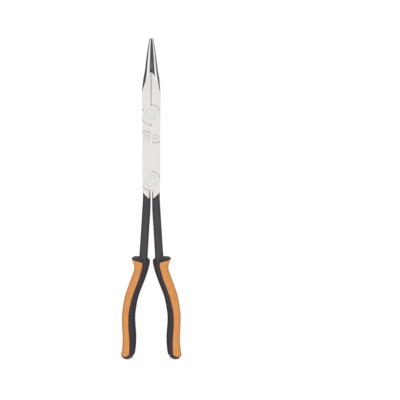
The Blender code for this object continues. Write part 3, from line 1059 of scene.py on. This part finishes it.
# %% Panel dimensions
PANEL_EDGE = [  # where the panel ends on the front and back faces, by the grip's height
    (-0.0660, 0.0104),
    (-0.0662, 0.0098),
    (-0.0666, 0.0094),
    (-0.0676, 0.0091),
    (-0.0705, 0.00925),
    (-0.0728, 0.0096),
    (-0.0781, 0.0109),
    (-0.0866, 0.0135),
    (-0.0951, 0.0168),
    (-0.1035, 0.0197),
    (-0.1120, 0.0219),
    (-0.1205, 0.0234),
    (-0.1290, 0.0238),
    (-0.1374, 0.02365),
    (-0.1458, 0.0229),
    (-0.1543, 0.02265),
    (-0.1610, 0.0230),
    (-0.1635, 0.0231),
    (-0.1647, 0.0234),
    (-0.1654, 0.0240),
    (-0.1658, 0.0250),
]
PANEL_DEPTH = 2.2 * MM
PANEL_TOP_DROP, PANEL_END_RISE = 0.45 * MM, 0.7 * MM
print("panel length", TOP_MEAN - PANEL_TOP_DROP - BOTTOM_MEAN - PANEL_END_RISE, "depth", PANEL_DEPTH)

# %% [markdown]
# ### Grip surface
# Everything on a grip is placed by a level along it and a turn round it. Levels slant like the collar
# at the top and like the end at the bottom, so a row of points can follow either edge.

# %% Grip surfaces
PALM_Y = -0.1290
NEAR_TOP, NEAR_END = 14 * MM, 12 * MM  # the rings turn level over these lengths


def smooth_step(s):
    """0 to 1 with a soft start and a soft end."""
    s = max(0.0, min(1.0, s))
    return s * s * (3 - 2 * s)


def top_surface(x, z):
    """Height of the collar: a crest at mid-depth that falls to the front and back edges, in a
    straight slope beside the shank and in a rounder one under the wing."""
    share = min(1.0, abs(z) / (0.82 * BODY_DEPTH))
    power = 1.1 + 1.6 * max(0.0, min(1.0, (x - 5.4 * MM) / (6.0 * MM)))
    crest, edge = curve_at(TOP_RIDGE, x), curve_at(TOP_FRONT, x)
    return crest + (edge - crest) * share**power


def end_surface(x, z):
    """Height of the rounded end."""
    share = min(1.0, abs(z) / (0.9 * BODY_DEPTH))
    crest, edge = curve_at(END_RIDGE, x), curve_at(END_FRONT, x)
    return crest + (edge - crest) * share**2.2


def section_point(y, turn):
    """Point and outward normal of the grip's section. turn is 0 at the inner side, pi at the outer."""
    inner, outer = curve_at(GRIP_INNER, y), curve_at(GRIP_OUTER, y)
    c, s = math.cos(turn), math.sin(turn)
    across = -math.copysign(abs(c) ** (2 / OVAL), c)
    up = math.copysign(abs(s) ** (2 / OVAL), s)
    middle, half = (inner + outer) / 2, (outer - inner) / 2
    tilt_x = math.copysign(abs(across) ** (OVAL - 1), across) / half
    tilt_z = math.copysign(abs(up) ** (OVAL - 1), up) / BODY_DEPTH
    length = math.hypot(tilt_x, tilt_z)
    return middle + half * across, up * BODY_DEPTH, tilt_x / length, tilt_z / length


def grip_height(level, turn):
    """The height of a ring's point. Rings slant with the collar and the end, and lie level between."""
    near_top = 1 - smooth_step((TOP_MEAN - level - 2 * MM) / NEAR_TOP)
    near_end = 1 - smooth_step((level - BOTTOM_MEAN - 2 * MM) / NEAR_END)
    y = level
    if near_top > 0:
        x, z, _, _ = section_point(TOP_MEAN, turn)
        y += (top_surface(x, z) - TOP_MEAN) * near_top
    if near_end > 0:
        x, z, _, _ = section_point(BOTTOM_MEAN, turn)
        y += (end_surface(x, z) - BOTTOM_MEAN) * near_end
    return y


def grip_point(level, turn, depth=0.0):
    """A point on the grip, or depth below its surface."""
    y = grip_height(level, turn)
    x, z, nx, nz = section_point(y, turn)
    return (x - nx * depth, y, z - nz * depth)


def turn_at(level, x):
    """The turn at which the front face of a ring crosses x."""
    inner, outer = curve_at(GRIP_INNER, level), curve_at(GRIP_OUTER, level)
    across = (x - (inner + outer) / 2) / ((outer - inner) / 2)
    across = max(-0.999, min(0.999, across))
    return math.acos(-math.copysign(abs(across) ** (OVAL / 2), across))


def panel_edge(level):
    """Distance from the centre line at which the panel's front edge runs."""
    return curve_at(PANEL_EDGE, level)


palm_inner, palm_outer = section_point(PALM_Y, 0.0)[0], section_point(PALM_Y, math.pi)[0]
print("grip width in the palm", palm_outer - palm_inner)

# %% [markdown]
# ### Black sleeve
# The columns of the grid run along the grip. Two of them follow the panel's edge a few hundredths of
# a millimetre apart, and between these two the surface drops into the recess. The rows do the same at
# the panel's top and bottom. A Boolean would cut the same recess, but leaves long thin faces.

# %% Black sleeve
RECESS = PANEL_DEPTH + 0.1 * MM
PANEL_TOP, PANEL_END = TOP_MEAN - PANEL_TOP_DROP, BOTTOM_MEAN + PANEL_END_RISE
# The recess has a soft lip: place across its edge, and how far the surface has sunk there.
LIP = [(-0.55 * MM, 0.0), (-0.22 * MM, 0.03 * MM), (-0.05 * MM, 0.14 * MM), (0.0, 0.30 * MM)]
ROW_STEP = 1.8 * MM
INNER_COLUMNS, OUTER_COLUMNS = 12, 11


def sleeve_columns(level):
    """(turn, depth outside the panel, depth beside it) once round a ring, from the inner side."""
    edge = panel_edge(max(PANEL_END, min(PANEL_TOP, level)))
    lip = [(turn_at(level, edge + shift), 0.0, depth) for shift, depth in LIP]
    floor_start = turn_at(level, edge + 0.02 * MM)
    first = lip[0][0]
    front = [(first * i / INNER_COLUMNS, 0.0, 0.0) for i in range(INNER_COLUMNS)]
    front += lip
    way = math.pi - floor_start
    rest = [floor_start + way * i / OUTER_COLUMNS for i in range(OUTER_COLUMNS + 1)]
    front += [(turn, RECESS, RECESS) for turn in rest]
    back = [(2 * math.pi - turn, deep, shallow) for turn, deep, shallow in front[1:-1][::-1]]
    return front + back


def sleeve_levels():
    """(level, 1 in the recess and 0 outside it, depth of the lip) from the collar to the end."""
    levels = [(TOP_MEAN, 0.0, 0.0)]
    levels += [(PANEL_TOP - shift, 0.0, depth) for shift, depth in LIP[1:]]
    inside = PANEL_TOP - 0.02 * MM - (PANEL_END + 0.02 * MM)
    count = round(inside / ROW_STEP)
    near = [0.0, 0.35 * MM, 0.7 * MM, 1.1 * MM]
    body = [PANEL_TOP - 0.02 * MM - d for d in near]
    body += [PANEL_TOP - inside * i / count for i in range(1, count)]
    body += [PANEL_END + 0.02 * MM + d for d in near[::-1]]
    levels += [(level, 1.0, 0.0) for level in body]
    levels += [(PANEL_END + shift, 0.0, depth) for shift, depth in LIP[::-1]]
    levels += [(BOTTOM_MEAN, 0.0, 0.0)]
    return levels


def sleeve_row(level, sunk, row_lip):
    """One ring of the sleeve, with its points sunk where the panel lies."""
    points = []
    for turn, beside, column_lip in sleeve_columns(level):
        if sunk:
            depth = beside if beside else column_lip
        else:
            depth = row_lip if beside else min(row_lip, column_lip)
        points.append(grip_point(level, turn, depth))
    return points


print("sleeve rows", len(sleeve_levels()), "columns", len(sleeve_columns(TOP_MEAN)))

# %% [markdown]
# Both ends of the tube are closed by rows that shrink towards the middle: first round the edge, then
# across the cap surface. A flat lid would be simpler, but the real collar and end are crowned.

# %% Sleeve caps
EDGE_ROWS, CAP_ROWS = 4, 8


def resampled(points, count):
    """A closed ring of points spread evenly, by length, over a closed line of points."""
    line = [Vector(p) for p in points] + [Vector(points[0])]
    lengths = [0.0]
    for a, b in zip(line, line[1:]):
        lengths.append(lengths[-1] + (b - a).length)
    spread = []
    segment = 0
    for i in range(count):
        want = lengths[-1] * i / count
        while lengths[segment + 1] < want:
            segment += 1
        share = (want - lengths[segment]) / (lengths[segment + 1] - lengths[segment])
        spread.append(line[segment].lerp(line[segment + 1], share))
    return spread


def cap_rows(edge_ring, surface, centre_ring, rounding, toward, settle):
    """Rows from the tube's end over a rounded edge and across a cap to the centre ring. The cap
    ends up a little off its surface, by settle."""
    rows = []
    middle = sum((Vector(p) for p in edge_ring), Vector()) / len(edge_ring)
    for step in range(1, EDGE_ROWS + 1):
        a = math.radians(90 / EDGE_ROWS * step)
        inset, lift = rounding * (1 - math.cos(a)), rounding * math.sin(a)
        row = []
        for p in edge_ring:
            inward = Vector((middle.x - p[0], 0, -p[2])).normalized() * inset
            row.append((p[0] + inward.x, p[1] + toward * lift, p[2] + inward.z))
        rows.append(row)
    last = rows[-1]
    for step in range(1, CAP_ROWS + 1):
        share = step / CAP_ROWS
        row = []
        for p, q in zip(last, centre_ring):
            x, z = p[0] + (q[0] - p[0]) * share, p[2] + (q[2] - p[2]) * share
            carried = p[1] + (surface(x, z) - surface(p[0], p[2]))
            settled = surface(x, z) + settle
            blend = smooth_step(share * 4)
            row.append((x, carried * (1 - blend) + settled * blend, z))
        rows.append(row)
    return rows


print("rows of a cap", EDGE_ROWS + CAP_ROWS)

# %% [markdown]
# The collar closes onto the shank, and from there the inside of the sleeve follows the hidden tang to
# its end, so the sleeve is a real hollow moulding and not a shell with a hole in it.

# %% Sleeve mesh
COLLAR_ROUNDING, END_ROUNDING = 0.7 * MM, 0.9 * MM
TANG_ROOM, TANG_END_ROOM = 0.06 * MM, 0.2 * MM
END_CENTRE_X = 24.6 * MM
MOUTH_Y = -0.0640  # the collar closes onto the shank's section at this height
POCKET_HEIGHTS = [TANG_TOP_Y + 0.5 * MM, -0.0700, -0.0780, -0.0860, -0.0950, -0.1050]
POCKET_HEIGHTS += [-0.1150, -0.1270, -0.1390, TANG_END_Y]


def start_at_inner_side(ring):
    """The shank's ring rotated so that it starts at its inner side, like the grip's rings."""
    inmost = min(p[0] for p in ring)
    first = min(range(len(ring)), key=lambda i: abs(ring[i][2]) + 10 * (ring[i][0] - inmost))
    return ring[first:] + ring[:first]


def grip_sleeve(name, skins):
    """The whole moulding: pocket for the tang, collar, tube and rounded end, as one grid."""
    tube = [sleeve_row(*level) for level in sleeve_levels()]
    count = len(tube[0])

    def tang_ring(y):
        return start_at_inner_side(resampled(shank_ring(y, TANG_ROOM), count))

    mouth_ring = [(p.x, 0.0, p.z) for p in tang_ring(MOUTH_Y)]
    top = cap_rows(tube[0], top_surface, mouth_ring, COLLAR_ROUNDING, 1, 0.1 * MM)
    pocket = [[tuple(p) for p in tang_ring(y)] for y in POCKET_HEIGHTS]
    pocket[-1] = [(x, y - TANG_END_ROOM, z) for x, y, z in pocket[-1]]
    end_ring = tube[-1]
    small = 0.08  # the last ring of the end, as a share of the first
    centre = [(END_CENTRE_X + (x - END_CENTRE_X) * small, y, z * small) for x, y, z in end_ring]
    bottom = cap_rows(end_ring, end_surface, centre, END_ROUNDING, -1, -END_ROUNDING)
    rows = pocket[::-1] + top[::-1] + tube + bottom
    return loft(name, rows, 0, 0, skins)


# %% [markdown]
# ### Orange panel
# The panel is a C-shaped pad of softer rubber moulded into the recess. Its border is a raised bead,
# and the field inside lies a little lower, so the border catches the light as a brighter line, helped
# by a painted highlight in its colour.

# %% Panel grid
BEAD = [  # distance in from the border, height above the sleeve
    (0.0, -0.45 * MM),
    (0.08 * MM, -0.16 * MM),
    (0.22 * MM, 0.04 * MM),
    (0.45 * MM, 0.15 * MM),
    (0.80 * MM, 0.16 * MM),
    (1.05 * MM, 0.06 * MM),
    (1.25 * MM, -0.14 * MM),
    (1.50 * MM, -0.16 * MM),
    (1.90 * MM, -0.06 * MM),
]
BORDER = 1.1 * MM  # the bead is this wide
PANEL_CREVICE = 0.09 * MM  # room between the border and the recess
FIELD_COLUMNS = 18


def panel_columns(level):
    """(turn, distance from the border) from the front edge round the outer side to the back."""
    edge = panel_edge(level) + PANEL_CREVICE
    border = [(turn_at(level, edge + inset), inset) for inset, _ in BEAD]
    last = border[-1][0]
    span = 2 * (math.pi - last)
    field = [(last + span * i / FIELD_COLUMNS, 1.0) for i in range(1, FIELD_COLUMNS)]
    back = [(2 * math.pi - turn, inset) for turn, inset in border[::-1]]
    return border + field + back


def panel_levels():
    """(level, distance from the border) from the panel's top to its bottom."""
    top, end = PANEL_TOP - PANEL_CREVICE, PANEL_END + PANEL_CREVICE
    first = [(top - inset, inset) for inset, _ in BEAD]
    last = [(end + inset, inset) for inset, _ in BEAD[::-1]]
    span = first[-1][0] - last[0][0]
    count = round(span / ROW_STEP)
    field = [(first[-1][0] - span * i / count, 1.0) for i in range(1, count)]
    return first + field + last


print("panel rows", len(panel_levels()), "columns", len(panel_columns(TOP_MEAN)))


# %% Panel mesh
def grip_panel(name, skins):
    """Outer skin with its bead, inner skin against the recess, joined round the border."""
    bm = bmesh.new()
    outside, inside = [], []
    border = bm.verts.layers.int.new("border")
    for level, row_inset in panel_levels():
        outer_row, inner_row = [], []
        for turn, column_inset in panel_columns(level):
            inset = min(row_inset, column_inset)
            lift = curve_at(BEAD, inset)
            outer_row.append(bm.verts.new(grip_point(level, turn, -lift)))
            outer_row[-1][border] = int(inset < BORDER)
            inner_row.append(bm.verts.new(grip_point(level, turn, PANEL_DEPTH)))
        outside.append(outer_row)
        inside.append(inner_row)
    rows, columns = len(outside), len(outside[0])
    for r in range(rows - 1):
        for c in range(columns - 1):
            corners = (outside[r][c], outside[r][c + 1], outside[r + 1][c + 1], outside[r + 1][c])
            face = bm.faces.new(corners)
            # faces on the bead take the finish whose brighter colour is a painted highlight
            face.material_index = int(sum(corner[border] for corner in corners) > 2)
            bm.faces.new((inside[r][c], inside[r + 1][c], inside[r + 1][c + 1], inside[r][c + 1]))
    for r in range(rows - 1):
        for c in (0, columns - 1):
            bm.faces.new((outside[r][c], outside[r + 1][c], inside[r + 1][c], inside[r][c]))
    for c in range(columns - 1):
        for r in (0, rows - 1):
            bm.faces.new((outside[r][c], inside[r][c], inside[r][c + 1], outside[r][c + 1]))
    return object_from(name, bm, skins)


# %% [markdown]
# ### Grip finishes
# The sleeve is hard matt plastic with a fine leather grain. The panel is a softer rubber, smoother and
# a little glossy. Its bead is painted a brighter, redder orange than the field, a painted highlight for
# the light that the raised bead catches, so the border is a second finish on the same mesh. A gradient
# of colour could do that too, but the step on the real pad is sharp.

# %% Grip materials
GRIP_CORNER = 50.0  # degrees; gentler corners of the mouldings are shaded smooth

SLEEVE_BLACK = finish(
    "sleeve_black",
    base=[(0.022, 0.018, 0.0225), (0.031, 0.026, 0.030)],
    roughness=(0.42, 0.58),
    grain=2600,
    height=4e-5,
    tone=150,
    specular=0.28,
)
PANEL_ORANGE = finish(
    "panel_orange",
    base=[(0.48, 0.182, 0.038), (0.555, 0.228, 0.053)],
    roughness=(0.42, 0.56),
    grain=3200,
    height=2e-5,
    tone=120,
)
# the bead's brighter, redder colour is a painted highlight
PANEL_BORDER_HIGHLIGHT = finish(
    "panel_border",
    base=[(0.61, 0.205, 0.038), (0.67, 0.235, 0.048)],
    roughness=(0.36, 0.48),
    grain=3200,
    height=1e-5,
    tone=120,
)

sleeve_right = crisp(grip_sleeve("grip_sleeve_right_moulding", [SLEEVE_BLACK]), GRIP_CORNER)
panel_right = crisp(grip_panel("grip_panel_right_moulding", [PANEL_ORANGE, PANEL_BORDER_HIGHLIGHT]), GRIP_CORNER)
print("sleeve faces", len(sleeve_right.data.polygons), "panel faces", len(panel_right.data.polygons))

# %% [markdown]
# ## Assembly
# Left and right are the same castings: turning a piece half a turn about the tool's long axis makes
# its twin, exactly as at the bench. Each piece then takes the place of its plain frame part and rides
# on the same body, so that it follows the linkage.

# %% Twins and bodies
def turned_over(piece, name):
    """The twin piece: the same mesh, turned half a turn about the tool's long axis."""
    twin = bpy.data.objects.new(name, piece.data)
    twin.location = piece.location
    twin.rotation_euler = (0, math.pi, 0)
    bpy.context.scene.collection.objects.link(twin)
    return twin


for master in (jaw_left, handle_right, sleeve_right, panel_right):
    master.location.z = MID_Z
jaw_right = turned_over(jaw_left, "jaw_right_forging")
handle_left = turned_over(handle_right, "handle_left_forging")
sleeve_left = turned_over(sleeve_right, "grip_sleeve_left_moulding")
panel_left = turned_over(panel_right, "grip_panel_left_moulding")

PIECES = [  # piece, the frame part it replaces, body, material slot
    (jaw_left, "jaw_left", "left_jaw", "bright_steel"),
    (jaw_right, "jaw_right", "right_jaw", "bright_steel"),
    (handle_right, "handle_lever_right", "right_handle", "bright_steel"),
    (handle_left, "handle_lever_left", "left_handle", "bright_steel"),
    (sleeve_right, "grip_sleeve_right", "right_handle", "black_grip"),
    (sleeve_left, "grip_sleeve_left", "left_handle", "black_grip"),
    (panel_right, "grip_panel_right", "right_handle", "orange_grip"),
    (panel_left, "grip_panel_left", "left_handle", "orange_grip"),
    (front_rivet, "front_pivot_rivet", "left_jaw", "rivet_steel"),
    (rear_rivet, "rear_pivot_rivet", "left_handle", "rivet_steel"),
    (link_right, "link_rivet_right", "left_handle", "rivet_steel"),
    (link_left, "link_rivet_left", "right_handle", "rivet_steel"),
]
for piece, cad_node, body, slot in PIECES:
    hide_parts(cad_node)
    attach(piece, body)
print("pieces", len(PIECES))
